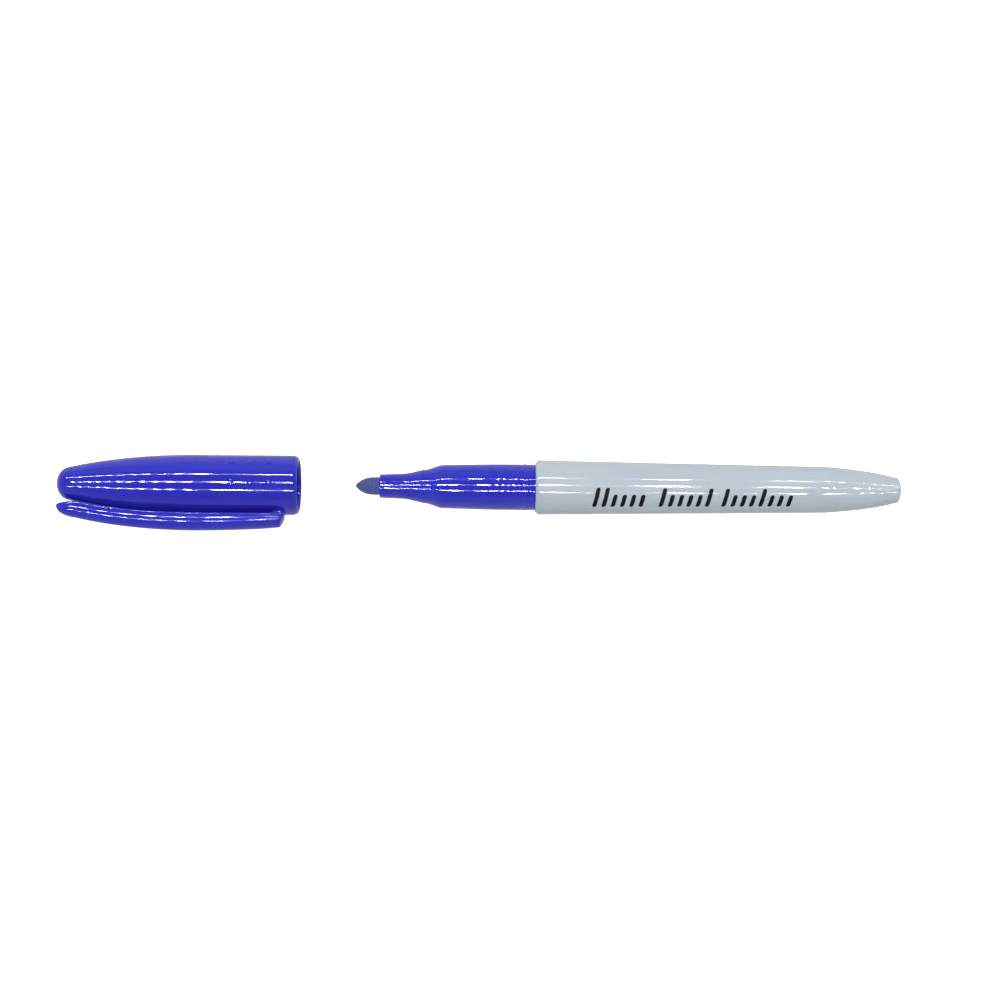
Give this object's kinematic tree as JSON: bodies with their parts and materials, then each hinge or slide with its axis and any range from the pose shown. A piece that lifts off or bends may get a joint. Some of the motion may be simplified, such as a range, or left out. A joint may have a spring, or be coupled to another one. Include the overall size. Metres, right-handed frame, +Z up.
{
  "type": "whiteboard marker",
  "caption": "Slim dry-wipe marker with a bullet nib, a tapered pale barrel and a blue slide-on cap with a springy pocket clip.",
  "frame": {"origin": "on the marker's axis at the barrel's front shoulder, where the cap's rim seats", "axes": "+X along the axis from the nib to the rear end, +Z up, clip on the -Y side"},
  "size_m": [0.1881, 0.0168, 0.0137],
  "materials": {
    "barrel": "gloss polypropylene, pale blue-grey white",
    "nib_holder": "gloss polypropylene, deep blue",
    "nib": "bonded acrylic felt, ink-stained blue",
    "ink_reservoir": "polyester fibre core, ink-soaked",
    "reservoir_film": "clear film wrap",
    "inner_cap": "soft polyethylene",
    "cap": "gloss polypropylene, deep blue",
    "clip": "gloss polypropylene, deep blue"
  },
  "bodies": {
    "marker": {"barrel": "barrel", "nib_holder": "nib_holder", "nib": "nib", "ink_reservoir": "ink_reservoir", "reservoir_film": "reservoir_film"},
    "liner": {"inner_cap": "inner_cap"},
    "cap": {"cap": "cap"},
    "clip": {"clip": "clip"}
  },
  "joints": [
    {"name": "cap_slide", "type": "slide", "parent": "marker", "child": "liner", "axis": [1, 0, 0], "range_m": [0, 0.0527]},
    {"name": "cap_spin", "type": "hinge", "parent": "liner", "child": "cap", "pos_m": [-0.0795, 0, 0], "axis": [1, 0, 0], "continuous": true},
    {"name": "clip_flex", "type": "hinge", "parent": "cap", "child": "clip", "pos_m": [-0.0547, -0.00626, 0.00228], "axis": [0, 0.342, 0.9397], "range_deg": [0, 3.5], "stiffness_Nm_per_rad": 0.6}
  ]
}
